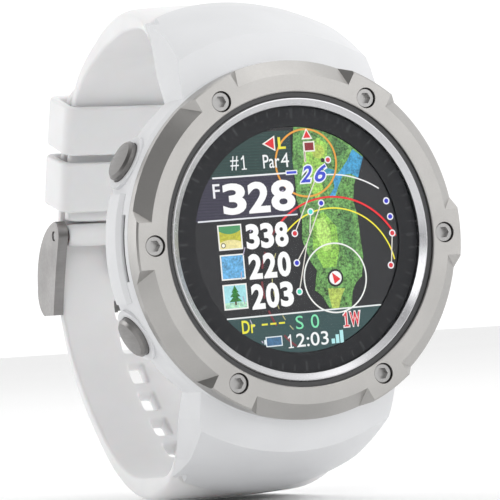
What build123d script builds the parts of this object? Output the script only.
"""Golf GPS watch on a buckled strap. Millimetres. +Z is 12 o'clock, +X is 3 o'clock, the face looks along -Y.

The origin is the middle of the strap loop, where the wrist goes. "Depth" is the distance behind the bezel's face.
"""

import os
from math import cos, radians, sin

from build123d import *

# ---------------------------------------------------------------- driving dimensions
FACE_TO_WRIST = 36.0  # bezel face to the middle of the loop
AIR = 0.05  # gap between pieces that are fitted together
RUN = 0.05  # radial running clearance of a shaft in its bore

BEZEL_R = 25.6
BEZEL_IN_R = 20.97
BEZEL_DEPTH = 3.3
SCREW_CIRCLE_R = 22.84
SCREW_COUNT = 6
TAB_HALF = 3.3  # half width of a screw tab at the face
TAB_FOOT_HALF = 5.1  # and at the foot of its flared sides
CUT_IN_R = 23.4
CUT_DEPTH = 2.0

CASE_R = 25.9
CAVITY_R = 21.2
SHELF_DEPTH = 3.35
CASE_DEPTH = 12.6
BACK_DEPTH = 14.4
BACK_R = 23.5
SEAL_STEP_R = 21.8
SEAL_THICK = 0.5

CRYSTAL_R = 19.0
CRYSTAL_FRONT, CRYSTAL_REAR = 0.45, 1.4
SCREEN_R = 16.1
BOARD_FRONT, BOARD_REAR = 5.9, 6.7

PUSHER_ANGLES = {"ten": 152, "eight": 208, "two": 28, "four": 332}
PUSHER_DEPTH = 8.5
CAP_R = 3.0
STEM_R = 1.0
STEM_END = 19.9
BOSS_R, BOSS_FACE = 4.05, 26.1
CAP_FOOT, CAP_FACE = 25.2, 27.3
POCKET_FLOOR = 24.2
SPRING_WELL = 26.4

STRAP_HALF = 10.5  # half the strap's width at the back of the wrist
ROOT_HALF = 14.2  # and where it meets the case
BAR_R = 0.75
LUG_BAR = (13.9, 30.2)  # depth and height of the bar that holds a strap half
LUG_BAR_HALF = 12.1
BUCKLE_BAR = (64.45, 4.4)  # depth and height of the bar that the buckle turns on
BUCKLE_BAR_HALF = 12.4

os.makedirs("parts", exist_ok=True)


# ---------------------------------------------------------------- helpers
def at_depth(depth):
    """A sketch plane that faces the viewer, that far behind the bezel's face: local x is X, local y is Z."""
    return Plane.XZ.offset(FACE_TO_WRIST - depth)


def side(points):
    """(depth, height) pairs as points of the side plane, whose local axes are Y and Z."""
    return [(depth - FACE_TO_WRIST, height) for depth, height in points]


def turned(points):
    """(radius, depth) pairs as points of a profile that is revolved about the watch's axis."""
    return [(radius, depth - FACE_TO_WRIST) for radius, depth in points]


def outward(angle):
    return (cos(radians(angle)), 0, sin(radians(angle)))


def around(angle):
    """A plane through the watch's axis: local x points out at that angle, local y is depth."""
    out = outward(angle)
    return Plane(origin=(0, 0, 0), x_dir=out, z_dir=(-out[2], 0, out[0]))


def radial(angle, distance):
    """A plane square to a pusher's axis, that far from the watch's axis."""
    return Plane((0, PUSHER_DEPTH - FACE_TO_WRIST, 0), (0, 1, 0), outward(angle)).offset(distance)


def pusher_section(angle):
    """A plane along a pusher's axis: local x is the radius about that axis, local y the distance from the watch's."""
    out = outward(angle)
    return Plane(origin=(0, PUSHER_DEPTH - FACE_TO_WRIST, 0), x_dir=(0, 1, 0), z_dir=(out[2], 0, -out[0]))


def pusher_axis(angle):
    return Axis((0, PUSHER_DEPTH - FACE_TO_WRIST, 0), outward(angle))


def save(part, name):
    part.label = name
    export_step(part, f"parts/{name}.step")


def save_ring(name, outer, inner, front, rear):
    """A plain ring about the watch's axis between two depths, or a disc where inner is 0."""
    with BuildPart() as made:
        with BuildSketch(at_depth(rear)):
            Circle(outer)
            if inner:
                Circle(inner, mode=Mode.SUBTRACT)
        extrude(amount=rear - front)
    save(made.part, name)


def save_turned(name, points):
    """A ring revolved from (radius, depth) pairs."""
    with BuildPart() as made:
        with BuildSketch(Plane.XY):
            with BuildLine():
                Polyline(turned(points), close=True)
            make_face()
        revolve(axis=Axis.Y)
    save(made.part, name)


def save_block(name, x_span, z_span, front, rear, corner, window=0.0):
    """A rounded block inside the case, or its frame of wall thickness window."""
    width, height = x_span[1] - x_span[0], z_span[1] - z_span[0]
    with BuildPart() as made:
        with BuildSketch(at_depth(rear)):
            with Locations(((x_span[0] + x_span[1]) / 2, (z_span[0] + z_span[1]) / 2)):
                RectangleRounded(width, height, corner)
                if window:
                    RectangleRounded(width - 2 * window, height - 2 * window, corner - window, mode=Mode.SUBTRACT)
        extrude(amount=rear - front)
    save(made.part, name)


# ---------------------------------------------------------------- bezel and its screws
HEAD_R, HEAD_TOP, HEAD_SEAT = 1.4, 0.35, 1.75
SHANK_R, SHANK_END = 0.8, 8.0
HEX_CORNER_R, HEX_DEPTH = 0.87, 0.8
FLARE = (TAB_FOOT_HALF - TAB_HALF) / CUT_DEPTH  # how far a tab's side leans out for each millimetre of depth
CUT_SLOPE = CUT_DEPTH / (BEZEL_R - CUT_IN_R)

# A triangular ring cut round the rim, less six flared blocks that leave the screw tabs standing.
with BuildPart() as rim_cut:
    with BuildSketch(Plane.XY):
        with BuildLine():
            Polyline(
                turned([(CUT_IN_R, 0), (CUT_IN_R, -1), (BEZEL_R + 1, -1), (BEZEL_R + 1, CUT_DEPTH + CUT_SLOPE)]),
                close=True,
            )
        make_face()
    revolve(axis=Axis.Y)
    for i in range(SCREW_COUNT):
        out = outward(360 / SCREW_COUNT * i)
        tab_plane = Plane(origin=(0, -FACE_TO_WRIST, 0), x_dir=(-out[2], 0, out[0]), z_dir=out)
        above, below = TAB_HALF - FLARE, TAB_HALF + 3 * FLARE
        with BuildSketch(tab_plane.offset(SCREW_CIRCLE_R - 1)):
            with BuildLine():
                Polyline([(-above, 1), (above, 1), (below, -3), (-below, -3)], close=True)
            make_face()
        extrude(amount=6, mode=Mode.SUBTRACT)

with BuildPart() as bezel:
    with BuildSketch(at_depth(BEZEL_DEPTH)):
        Circle(BEZEL_R)
        Circle(BEZEL_IN_R, mode=Mode.SUBTRACT)
    extrude(amount=BEZEL_DEPTH)
    face_rims = bezel.faces().sort_by(Axis.Y)[0].edges().sort_by(SortBy.LENGTH)
    chamfer(face_rims[-1], length=0.25)
    chamfer(bezel.faces().sort_by(Axis.Y)[0].edges().sort_by(SortBy.LENGTH)[0], length=0.12)
    add(rim_cut.part, mode=Mode.SUBTRACT)
    with BuildSketch(at_depth(BEZEL_DEPTH)):
        with PolarLocations(SCREW_CIRCLE_R, SCREW_COUNT):
            Circle(SHANK_R + RUN)
    extrude(amount=BEZEL_DEPTH, mode=Mode.SUBTRACT)
    with BuildSketch(at_depth(HEAD_SEAT)):
        with PolarLocations(SCREW_CIRCLE_R, SCREW_COUNT):
            Circle(HEAD_R + 0.1)
    extrude(amount=HEAD_SEAT, mode=Mode.SUBTRACT)
save(bezel.part, "bezel")

with BuildPart() as bezel_screws:
    with BuildSketch(at_depth(HEAD_SEAT)):
        with PolarLocations(SCREW_CIRCLE_R, SCREW_COUNT):
            Circle(HEAD_R)
    extrude(amount=HEAD_SEAT - HEAD_TOP)
    chamfer(bezel_screws.faces().group_by(Axis.Y)[0].edges(), length=0.12)
    with BuildSketch(at_depth(SHANK_END)):
        with PolarLocations(SCREW_CIRCLE_R, SCREW_COUNT):
            Circle(SHANK_R)
    extrude(amount=SHANK_END - HEAD_SEAT)
    with BuildSketch(at_depth(HEAD_TOP + HEX_DEPTH)):
        with PolarLocations(SCREW_CIRCLE_R, SCREW_COUNT):
            RegularPolygon(HEX_CORNER_R, 6)
    extrude(amount=HEX_DEPTH, mode=Mode.SUBTRACT)
save(bezel_screws.part, "bezel_screws")

# ---------------------------------------------------------------- crystal and screen stack
STACK_FRONT = CRYSTAL_REAR + AIR
PANEL_FRONT = 1.75
save_ring("crystal_gasket", BEZEL_IN_R - AIR, 20.25, 0.5, BEZEL_DEPTH)
save_turned("crystal_ring", [(20.2, 0.4), (20.2, 3.25), (19.05, 3.25), (19.05, 0.75), (19.9, 0.15), (20.05, 0.2)])
save_ring("chapter_ring", CRYSTAL_R, SCREEN_R + AIR, STACK_FRONT, 2.4)
save_ring("display_panel", SCREEN_R, 0, PANEL_FRONT, 2.6)
save_ring("backlight_unit", 17.4, 0, 2.65, 3.9)
save_turned(
    "display_holder",
    [(17.5, 2.5), (19.0, 2.5), (19.0, 3.35), (21.1, 3.35), (21.1, 5.6), (14.0, 5.6), (14.0, 4.0), (17.5, 4.0)],
)

with BuildPart() as crystal:
    with BuildSketch(at_depth(CRYSTAL_REAR)):
        Circle(CRYSTAL_R)
    extrude(amount=CRYSTAL_REAR - CRYSTAL_FRONT)
    chamfer(crystal.faces().sort_by(Axis.Y)[0].edges(), length=0.2)
save(crystal.part, "crystal")

# ---------------------------------------------------------------- mid case
# Radius and depth of a hood's surface where it is highest: a cone off the bezel up to a crease, then a long curve.
HOOD_CONE = [(25.0, 3.6), (30.2, 6.0)]
HOOD_CURVE = [(30.2, 6.0), (32.5, 10.0), (34.7, 15.0), (36.4, 21.5), (36.9, 26.0)]
# Half of a hood's outline from the front, half width and height: the flank from its foot, then the round shoulder.
HOOD_FLANK = [(15.8, 17.0), (15.3, 24.5), (14.2, 30.5)]
HOOD_SHOULDER = [(13.7, 33.2), (11.4, 35.1), (6.5, 36.2)]
HOOD_APEX = 36.6
SEAM_LOW, SEAM_HIGH = (15.2, 27.5), (21.3, 36.4)  # the slanted joint between hood and strap, in the side view
SEAM_RUN = (SEAM_HIGH[0] - SEAM_LOW[0]) / (SEAM_HIGH[1] - SEAM_LOW[1])
POCKET_HALF, POCKET_FRONT, POCKET_LOW, POCKET_HIGH = 10.3, 11.9, 28.6, 31.8
GUARD_SPAN, SLOT_SPAN = 34, 21  # degrees
SLOT_FLOOR_R = 25.2
BACK_SCREW_R, BACK_SCREW_COUNT = 22.35, 4
BACK_SHANK_R, BACK_HEAD_R = 0.45, 0.9


with BuildPart() as hood:
    with BuildSketch(Plane.XY):
        with BuildLine():
            Polyline(turned([HOOD_CURVE[-1], (15, HOOD_CURVE[-1][1]), (15, HOOD_CONE[0][1]), *HOOD_CONE]))
            Spline(turned(HOOD_CURVE))
        make_face()
    revolve(axis=Axis.Y)
    with BuildSketch(at_depth(40)):
        with BuildLine():
            Polyline([(-x, z) for x, z in reversed(HOOD_FLANK)] + HOOD_FLANK)
            right = [HOOD_FLANK[-1], *HOOD_SHOULDER]
            Spline(
                right + [(0, HOOD_APEX)] + [(-x, z) for x, z in reversed(right)],
                tangents=[(0, 1), (0, -1)],
            )
        make_face()
    extrude(amount=40, mode=Mode.INTERSECT)
    with BuildSketch(Plane.YZ.offset(-40)):
        low, high = SEAM_LOW[1] - 20, SEAM_HIGH[1] + 8
        front_low, front_high = SEAM_LOW[0] - 20 * SEAM_RUN, SEAM_HIGH[0] + 8 * SEAM_RUN
        with BuildLine():
            Polyline(side([(front_low, low), (front_high, high), (60, high), (60, low)]), close=True)
        make_face()
    extrude(amount=80, mode=Mode.SUBTRACT)

with BuildPart() as mid_case:
    with BuildSketch(Plane.XY):
        with BuildLine():
            Polyline(
                turned([(18, SHELF_DEPTH), (25.6, SHELF_DEPTH), (CASE_R, 4.4), (CASE_R, 9.8), (24.9, CASE_DEPTH),
                        (18, CASE_DEPTH)]),
                close=True,
            )
        make_face()
    revolve(axis=Axis.Y)
    add(hood.part)
    add(hood.part.mirror(Plane.XY))
    # The guard between the left pushers, and the slot under the bezel's edge in front of it.
    with BuildSketch(around(180 + GUARD_SPAN / 2)):
        with BuildLine():
            Polyline(
                turned([(24, 4.9), (26.0, 4.9), (26.5, 5.6), (26.5, 9.2), (25.5, 10.6), (24, 10.6)]),
                close=True,
            )
        make_face()
    revolve(axis=Axis.Y, revolution_arc=GUARD_SPAN)
    with BuildSketch(around(180 + SLOT_SPAN / 2)):
        with BuildLine():
            Polyline(turned([(SLOT_FLOOR_R, 4.0), (30, 4.0), (30, 4.8), (SLOT_FLOOR_R, 4.8)]), close=True)
        make_face()
    revolve(axis=Axis.Y, revolution_arc=SLOT_SPAN, mode=Mode.SUBTRACT)
    for angle in PUSHER_ANGLES.values():
        with BuildSketch(radial(angle, 21)):
            Circle(BOSS_R)
        extrude(amount=BOSS_FACE - 21)
        with BuildSketch(radial(angle, POCKET_FLOOR)):
            Circle(CAP_R + 0.1)
        extrude(amount=4, mode=Mode.SUBTRACT)
        with BuildSketch(radial(angle, 18)):
            Circle(STEM_R + RUN)
        extrude(amount=8, mode=Mode.SUBTRACT)
    with BuildSketch(at_depth(CASE_DEPTH)):
        Circle(CAVITY_R)
    extrude(amount=CASE_DEPTH, mode=Mode.SUBTRACT)
    for rear in (SHELF_DEPTH + SEAL_THICK, CASE_DEPTH):
        with BuildSketch(at_depth(rear)):
            Circle(SEAL_STEP_R)
        extrude(amount=SEAL_THICK, mode=Mode.SUBTRACT)
    with BuildSketch(at_depth(SHANK_END + 0.3)):
        with PolarLocations(SCREW_CIRCLE_R, SCREW_COUNT):
            Circle(SHANK_R + RUN)
    extrude(amount=SHANK_END - SHELF_DEPTH + 0.3, mode=Mode.SUBTRACT)
    with BuildSketch(at_depth(CASE_DEPTH)):
        with PolarLocations(BACK_SCREW_R, BACK_SCREW_COUNT, start_angle=45):
            Circle(BACK_SHANK_R + RUN)
    extrude(amount=3.2, mode=Mode.SUBTRACT)
    # Each hood's pocket for the strap's tongue, and the blind bores of its spring bar.
    for sign in (1, -1):
        pocket = side([(POCKET_FRONT, sign * POCKET_LOW), (POCKET_FRONT, sign * POCKET_HIGH),
                       (25, sign * POCKET_HIGH), (25, sign * POCKET_LOW)])
        with BuildSketch(Plane.YZ.offset(-POCKET_HALF)):
            with BuildLine():
                Polyline(pocket, close=True)
            make_face()
        extrude(amount=2 * POCKET_HALF, mode=Mode.SUBTRACT)
        with BuildSketch(Plane.YZ.offset(-LUG_BAR_HALF - 0.2)):
            with Locations(side([(LUG_BAR[0], sign * LUG_BAR[1])])):
                Circle(BAR_R + RUN)
        extrude(amount=2 * LUG_BAR_HALF + 0.4, mode=Mode.SUBTRACT)
save(mid_case.part, "mid_case")

with BuildPart() as side_slot_insert:
    with BuildSketch(around(180 + SLOT_SPAN / 2 - 0.2)):
        with BuildLine():
            Polyline(
                turned([(SLOT_FLOOR_R + AIR, 4.05), (25.6, 4.05), (25.6, 4.75), (SLOT_FLOOR_R + AIR, 4.75)]),
                close=True,
            )
        make_face()
    revolve(axis=Axis.Y, revolution_arc=SLOT_SPAN - 0.4)
save(side_slot_insert.part, "side_slot_insert")

save_ring("bezel_seal", SEAL_STEP_R - AIR, CAVITY_R + AIR, SHELF_DEPTH + 0.02, SHELF_DEPTH + SEAL_THICK - 0.02)

# ---------------------------------------------------------------- case back
CONTACTS_HEIGHT, CONTACT_PITCH, CONTACT_COUNT, CONTACT_R = -14.0, 2.54, 4, 0.8
BACK_FRONT = CASE_DEPTH + AIR

with BuildPart() as case_back:
    with BuildSketch(at_depth(BACK_DEPTH)):
        Circle(BACK_R)
    extrude(amount=BACK_DEPTH - BACK_FRONT)
    chamfer(case_back.faces().sort_by(Axis.Y)[-1].edges(), length=0.6)
    with BuildSketch(at_depth(BACK_DEPTH)):
        with PolarLocations(BACK_SCREW_R, BACK_SCREW_COUNT, start_angle=45):
            Circle(BACK_HEAD_R + 0.05)
    extrude(amount=1.0, mode=Mode.SUBTRACT)
    with BuildSketch(at_depth(BACK_DEPTH)):
        with PolarLocations(BACK_SCREW_R, BACK_SCREW_COUNT, start_angle=45):
            Circle(BACK_SHANK_R + RUN)
        with Locations((0, CONTACTS_HEIGHT)):
            with GridLocations(CONTACT_PITCH, 1, CONTACT_COUNT, 1):
                Circle(CONTACT_R + RUN)
    extrude(amount=BACK_DEPTH - BACK_FRONT, mode=Mode.SUBTRACT)
save(case_back.part, "case_back")

with BuildPart() as case_back_screws:
    with BuildSketch(at_depth(BACK_DEPTH - 0.25)):
        with PolarLocations(BACK_SCREW_R, BACK_SCREW_COUNT, start_angle=45):
            Circle(BACK_HEAD_R)
    extrude(amount=0.7)
    with BuildSketch(at_depth(BACK_DEPTH - 0.25)):
        with PolarLocations(BACK_SCREW_R, BACK_SCREW_COUNT, start_angle=45):
            Circle(BACK_SHANK_R)
    extrude(amount=4.5)
    with BuildSketch(at_depth(BACK_DEPTH)):
        with PolarLocations(BACK_SCREW_R, BACK_SCREW_COUNT, start_angle=45):
            Rectangle(1.4, 0.25)
            Rectangle(0.25, 1.4)
    extrude(amount=0.6, mode=Mode.SUBTRACT)
save(case_back_screws.part, "case_back_screws")

with BuildPart() as charging_contacts:
    with BuildSketch(at_depth(BACK_DEPTH - 0.1)):
        with Locations((0, CONTACTS_HEIGHT)):
            with GridLocations(CONTACT_PITCH, 1, CONTACT_COUNT, 1):
                Circle(CONTACT_R)
    extrude(amount=2.6)
save(charging_contacts.part, "charging_contacts")

save_ring("case_back_gasket", SEAL_STEP_R - AIR, CAVITY_R + AIR, CASE_DEPTH - SEAL_THICK + 0.02, CASE_DEPTH)

# ---------------------------------------------------------------- electronics
SWITCH_FACE, SWITCH_BACK, SWITCH_HALF = 18.95, 17.0, 1.8
save_ring("main_board", 20.3, 0, BOARD_FRONT, BOARD_REAR)
save_block("processor_shield", (-6, 6), (-3, 9), 4.6, BOARD_FRONT - AIR, 0.6)
save_block("gps_antenna", (-5, 5), (9.6, 18.6), BOARD_REAR + AIR, 10.0, 0.5)
save_block("battery", (-11.4, 11.4), (-9.9, 7.9), 7.2, 11.8, 2.0)
save_block("battery_tray", (-12.5, 12.5), (-11.0, 9.0), BOARD_REAR + AIR, 11.9, 3.0, window=1.0)

with BuildPart() as vibration_motor:
    with BuildSketch(at_depth(9.6)):
        with Locations((0, -15.4)):
            Circle(4.0)
    extrude(amount=9.6 - BOARD_REAR - AIR)
save(vibration_motor.part, "vibration_motor")

with BuildPart() as tact_switches:
    for angle in PUSHER_ANGLES.values():
        with BuildSketch(radial(angle, SWITCH_BACK)):
            Rectangle(2 * (PUSHER_DEPTH - BOARD_REAR - AIR), 2 * SWITCH_HALF)
        extrude(amount=SWITCH_FACE - SWITCH_BACK)
save(tact_switches.part, "tact_switches")

FLEX_HALF, FLEX_THICK = 3.0, 0.1
with BuildPart() as display_flex:
    with BuildSketch(Plane.YZ.offset(-FLEX_HALF)):
        with BuildLine():
            Polyline(side([(4.0, -13.2), (4.0, -9.0), (5.8, -7.2), (5.8, -4.5)]))
        trace(line_width=FLEX_THICK)
    extrude(amount=2 * FLEX_HALF)
save(display_flex.part, "display_flex")

# ---------------------------------------------------------------- pushers
CLIP_GROOVE, SEAL_GROOVE, GROOVE_R = (20.5, 20.9), (22.35, 22.85), 0.7
SPRING_R, SPRING_WIRE_R, SPRING_TURNS = 1.8, 0.14, 3
WELL_IN_R, WELL_OUT_R = 1.25, 2.4

for clock, angle in PUSHER_ANGLES.items():
    with BuildPart() as pusher:
        with BuildSketch(pusher_section(angle)):
            with BuildLine():
                crown = ThreePointArc((0, CAP_FACE), (1.3, CAP_FACE - 0.03), (CAP_R - 0.4, CAP_FACE - 0.12))
                Polyline(
                    crown @ 1,
                    (CAP_R, CAP_FACE - 0.5),
                    (CAP_R, CAP_FOOT),
                    (WELL_OUT_R, CAP_FOOT),
                    (WELL_OUT_R, SPRING_WELL),
                    (WELL_IN_R, SPRING_WELL),
                    (WELL_IN_R, CAP_FOOT),
                    (STEM_R, CAP_FOOT),
                    (STEM_R, SEAL_GROOVE[1]),
                    (GROOVE_R, SEAL_GROOVE[1]),
                    (GROOVE_R, SEAL_GROOVE[0]),
                    (STEM_R, SEAL_GROOVE[0]),
                    (STEM_R, CLIP_GROOVE[1]),
                    (GROOVE_R, CLIP_GROOVE[1]),
                    (GROOVE_R, CLIP_GROOVE[0]),
                    (STEM_R, CLIP_GROOVE[0]),
                    (STEM_R, STEM_END),
                    (0, STEM_END),
                    crown @ 0,
                )
            make_face()
        revolve(axis=pusher_axis(angle))
    save(pusher.part, f"pusher_{clock}")

    with BuildPart() as pusher_seal:
        with BuildSketch(pusher_section(angle)):
            with Locations((GROOVE_R + 0.16, sum(SEAL_GROOVE) / 2)):
                Circle(0.15)
        revolve(axis=pusher_axis(angle))
    save(pusher_seal.part, f"pusher_seal_{clock}")

    with BuildPart() as pusher_clip:
        with BuildSketch(radial(angle, CLIP_GROOVE[0] + AIR)):
            Circle(1.55)
            Circle(GROOVE_R + 0.03, mode=Mode.SUBTRACT)
            with Locations((1.5, 0)):
                Rectangle(2.4, 1.1, mode=Mode.SUBTRACT)
        extrude(amount=0.3)
    save(pusher_clip.part, f"pusher_clip_{clock}")

    with BuildPart() as pusher_spring:
        spring_foot = POCKET_FLOOR + AIR + SPRING_WIRE_R
        spring_rise = SPRING_WELL - POCKET_FLOOR - 2 * (AIR + SPRING_WIRE_R)
        with BuildLine() as coil:
            Helix(
                pitch=spring_rise / SPRING_TURNS,
                height=spring_rise,
                radius=SPRING_R,
                center=radial(angle, spring_foot).origin,
                direction=outward(angle),
            )
        with BuildSketch(Plane(origin=coil.line @ 0, z_dir=coil.line % 0)):
            Circle(SPRING_WIRE_R)
        sweep(is_frenet=True)
    save(pusher_spring.part, f"pusher_spring_{clock}")

# ---------------------------------------------------------------- strap halves
# Depth and height along each half's outer and inner surface, from the case to its free end.
UPPER_OUTER = [(21.1, 35.6), (31, 37.0), (42, 36.2), (50.5, 33.2), (56.2, 29.8), (60.0, 25.2), (63.0, 17.1),
               (65.0, 10.2), (66.2, 4.8)]
UPPER_INNER = [(15.45, 27.35), (20.5, 32.0), (30, 33.3), (41.2, 32.5), (49.2, 30.2), (54.5, 27.5), (57.9, 24.0),
               (60.7, 16.3), (62.6, 9.4), (62.7, 4.8)]
LOWER_OUTER = [(21.1, -35.6), (31, -37.4), (42.8, -37.0), (50.4, -33.9), (58.2, -27.4), (66.0, -18.4), (70.0, -9),
               (70.45, -2), (69.4, 4.5), (67.7, 11), (65.7, 18), (62.9, 26), (60.9, 29.1), (58.4, 31.0)]
LOWER_INNER = [(15.45, -27.35), (21.5, -32.3), (31, -33.4), (42.2, -33.5), (48.8, -31.3), (56.3, -25.5),
               (63.8, -17.0), (67.6, -8.4), (67.95, -2.1), (66.95, 4.0), (65.3, 10.3), (63.3, 17.2), (60.55, 25.2),
               (58.95, 28.0), (57.1, 29.9)]
TONGUE_HALF, TONGUE_FRONT, TONGUE_LOW, TONGUE_HIGH = 10.0, 12.2, 28.85, 31.55
KNUCKLE_R, KNUCKLE_NOTCH_HALF = 1.9, 1.8
HOLE_WIDTH, HOLE_LENGTH, HOLE_PITCH = 3.0, 3.8, 6.0
HOLES_TOWARDS_TIP, HOLES_TOWARDS_CASE = 4, 6


# Seen from the front, a strap half has the crowned top and round shoulders of the hood that it continues.
with BuildPart() as strap_envelope:
    with BuildSketch(at_depth(90)) as outline:
        with BuildLine():
            ThreePointArc((ROOT_HALF, 36.1), (0, 37.9), (-ROOT_HALF, 36.1))
            Line((-ROOT_HALF, 36.1), (-ROOT_HALF, -36.1))
            ThreePointArc((-ROOT_HALF, -36.1), (0, -37.9), (ROOT_HALF, -36.1))
            Line((ROOT_HALF, -36.1), (ROOT_HALF, 36.1))
        make_face()
        fillet(outline.vertices(), radius=5.5)
    extrude(amount=90)


def strap_body(outer, inner, sign):
    """A strap half: its side profile carried across, cut to a plan that narrows away from the case, with the tongue
    that fills the hood's pocket and the bore of the spring bar."""
    with BuildPart() as strap:
        with BuildSketch(Plane.YZ.offset(-ROOT_HALF)):
            with BuildLine():
                top = Spline(side(outer))
                bottom = Spline(side(inner))
                Line(top @ 1, bottom @ 1)
                Line(bottom @ 0, top @ 0)
            make_face()
        extrude(amount=2 * ROOT_HALF)
        with BuildSketch(Plane.XY.offset(-50)):
            with BuildLine():
                flare = [(ROOT_HALF, 10), (ROOT_HALF, 19), (12.6, 30), (10.9, 40), (STRAP_HALF, 48), (STRAP_HALF, 80)]
                right = [(x, depth - FACE_TO_WRIST) for x, depth in flare]
                Polyline(right + [(-x, y) for x, y in reversed(right)], close=True)
            make_face()
        extrude(amount=100, mode=Mode.INTERSECT)
        add(strap_envelope.part, mode=Mode.INTERSECT)
        with BuildSketch(Plane.YZ.offset(-TONGUE_HALF)):
            with BuildLine():
                Polyline(
                    side([(TONGUE_FRONT, sign * TONGUE_LOW), (TONGUE_FRONT, sign * TONGUE_HIGH),
                          (19.5, sign * TONGUE_HIGH), (19.5, sign * TONGUE_LOW)]),
                    close=True,
                )
            make_face()
        extrude(amount=2 * TONGUE_HALF)
        with BuildSketch(Plane.YZ.offset(-ROOT_HALF)):
            with Locations(side([(LUG_BAR[0], sign * LUG_BAR[1])])):
                Circle(BAR_R + RUN)
        extrude(amount=2 * ROOT_HALF, mode=Mode.SUBTRACT)
    return strap.part


with BuildPart() as upper_strap:
    add(strap_body(UPPER_OUTER, UPPER_INNER, 1))
    with BuildSketch(Plane.YZ.offset(-STRAP_HALF)):
        with Locations(side([BUCKLE_BAR])):
            Circle(KNUCKLE_R)
    extrude(amount=2 * STRAP_HALF)
    with BuildSketch(Plane.YZ.offset(-STRAP_HALF)):
        with Locations(side([BUCKLE_BAR])):
            Circle(BAR_R + RUN)
    extrude(amount=2 * STRAP_HALF, mode=Mode.SUBTRACT)
    with BuildSketch(Plane.YZ.offset(-KNUCKLE_NOTCH_HALF)):
        with Locations(side([BUCKLE_BAR])):
            Rectangle(8, 2 * (KNUCKLE_R + 0.3))
    extrude(amount=2 * KNUCKLE_NOTCH_HALF, mode=Mode.SUBTRACT)
save(upper_strap.part, "upper_strap")

# The line of holes runs down the middle of the strap's thickness; the buckled one is on the knot level with the bar.
KNOTS = side([((o[0] + i[0]) / 2, (o[1] + i[1]) / 2) for o, i in zip(LOWER_OUTER[2:], LOWER_INNER[3:])])
middle = Spline(KNOTS)
buckled = middle.param_at_point(Vector(*KNOTS[5]))

with BuildPart() as lower_strap:
    add(strap_body(LOWER_OUTER, LOWER_INNER, -1))
    for step in range(-HOLES_TOWARDS_CASE, HOLES_TOWARDS_TIP + 1):
        station = buckled + step * HOLE_PITCH / middle.length
        centre, along = middle @ station, middle % station
        hole_plane = Plane(origin=(0, centre.X, centre.Y), x_dir=(1, 0, 0), z_dir=(0, along.Y, -along.X))
        with BuildSketch(hole_plane):
            RectangleRounded(HOLE_WIDTH, HOLE_LENGTH, 0.8)
        extrude(amount=4, both=True, mode=Mode.SUBTRACT)
    with BuildSketch(Plane.XZ.offset(-20)):
        with BuildLine():
            tip = ThreePointArc((-STRAP_HALF, 24), (0, 31.0), (STRAP_HALF, 24))
            Polyline(tip @ 1, (STRAP_HALF, 40), (-STRAP_HALF, 40), tip @ 0)
        make_face()
    extrude(amount=-20, mode=Mode.SUBTRACT)
save(lower_strap.part, "lower_strap")


def save_bar(name, place, half):
    with BuildPart() as bar:
        with BuildSketch(Plane.YZ.offset(-half)):
            with Locations(side([place])):
                Circle(BAR_R)
        extrude(amount=2 * half)
        chamfer(bar.faces().group_by(Axis.X)[0].edges() + bar.faces().group_by(Axis.X)[-1].edges(), length=0.15)
    save(bar.part, name)


save_bar("upper_spring_bar", LUG_BAR, LUG_BAR_HALF)
save_bar("lower_spring_bar", (LUG_BAR[0], -LUG_BAR[1]), LUG_BAR_HALF)
save_bar("buckle_bar", BUCKLE_BAR, BUCKLE_BAR_HALF)

# ---------------------------------------------------------------- keepers
KEEPER_WALL, KEEPER_SIDE_GAP = 1.5, 0.35
# Depth and height of the middle, tilt in degrees, length, and the window's reach outwards and inwards.
KEEPERS = {
    "free_keeper": (61.6, 21.9, 18.7, 7.8, 3.1, 3.5),
    "fixed_keeper": (64.5, 12.9, 15.5, 8.0, 3.1, 3.35),
}

for name, (depth, height, tilt, length, outer_reach, inner_reach) in KEEPERS.items():
    up = (-sin(radians(tilt)), cos(radians(tilt)))
    loop_plane = Plane(origin=(0, depth - FACE_TO_WRIST, height), x_dir=(1, 0, 0), z_dir=(0, *up)).offset(-length / 2)
    window_half = STRAP_HALF + KEEPER_SIDE_GAP
    with BuildPart() as keeper:
        with BuildSketch(loop_plane):
            with Locations((0, (outer_reach - inner_reach) / 2)):
                RectangleRounded(
                    2 * (window_half + KEEPER_WALL), outer_reach + inner_reach + 2 * KEEPER_WALL, 2.2
                )
                RectangleRounded(2 * window_half, outer_reach + inner_reach, 0.7, mode=Mode.SUBTRACT)
        extrude(amount=length)
    save(keeper.part, name)

# ---------------------------------------------------------------- buckle
ARM_IN, ARM_OUT = 10.95, 12.6
CROSSBAR_INNER = 70.95

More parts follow.
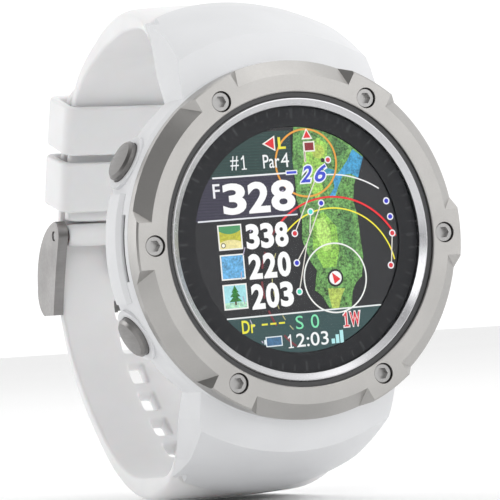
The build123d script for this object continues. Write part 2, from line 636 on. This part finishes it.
with BuildPart() as buckle_frame:
    with BuildSketch(Plane.YZ.offset(-ARM_OUT)):
        with BuildLine():
            rim = ThreePointArc(*side([(63.6, 6.7), (70.3, 3.2), (72.8, -3.4)]))
            heel = ThreePointArc(*side([(72.8, -3.4), (72.4, -6.6), (70.6, -8.2)]))
            Line(heel @ 1, side([(66.6, -8.2)])[0])
            inner_edge = ThreePointArc(*side([(66.6, -8.2), (64.9, -2.6), (62.5, 3.8)]))
            ThreePointArc(inner_edge @ 1, side([(62.5, 5.6)])[0], rim @ 0)
        make_face()
    extrude(amount=2 * ARM_OUT)
    # Between the arms only the crossbar at the heel stays.
    with BuildSketch(Plane.YZ.offset(-ARM_IN)):
        with BuildLine():
            Polyline(
                side([(60, 10), (75, 10), (75, -4.2), (CROSSBAR_INNER, -4.2), (CROSSBAR_INNER, -10), (60, -10)]),
                close=True,
            )
        make_face()
    extrude(amount=2 * ARM_IN, mode=Mode.SUBTRACT)
    with BuildSketch(Plane.YZ.offset(-1.5)):
        with BuildLine():
            Polyline(side([(71.95, -3), (76, -3), (76, -10), (71.95, -10)]), close=True)
        make_face()
    extrude(amount=3.0, mode=Mode.SUBTRACT)
    with BuildSketch(Plane.YZ.offset(-ARM_OUT)):
        with Locations(side([BUCKLE_BAR])):
            Circle(BAR_R + RUN)
    extrude(amount=2 * ARM_OUT, mode=Mode.SUBTRACT)
save(buckle_frame.part, "buckle_frame")

PIN_ROUTE = [BUCKLE_BAR, (66.0, -1.0), (72.6, -3.4), (73.15, -8.2)]
PIN_THICK, PIN_HALF, PIN_EYE_R, PIN_EYE_HALF = 1.1, 1.1, 1.55, 1.5

with BuildPart() as buckle_tongue:
    with BuildSketch(Plane.YZ.offset(-PIN_HALF)):
        with BuildLine():
            FilletPolyline(*side(PIN_ROUTE), radius=1.0)
        trace(line_width=PIN_THICK)
    extrude(amount=2 * PIN_HALF)
    with BuildSketch(Plane.YZ.offset(-PIN_EYE_HALF)):
        with Locations(side([BUCKLE_BAR])):
            Circle(PIN_EYE_R)
    extrude(amount=2 * PIN_EYE_HALF)
    with BuildSketch(Plane.YZ.offset(-PIN_EYE_HALF)):
        with Locations(side([BUCKLE_BAR])):
            Circle(BAR_R + RUN)
    extrude(amount=2 * PIN_EYE_HALF, mode=Mode.SUBTRACT)
save(buckle_tongue.part, "buckle_tongue")
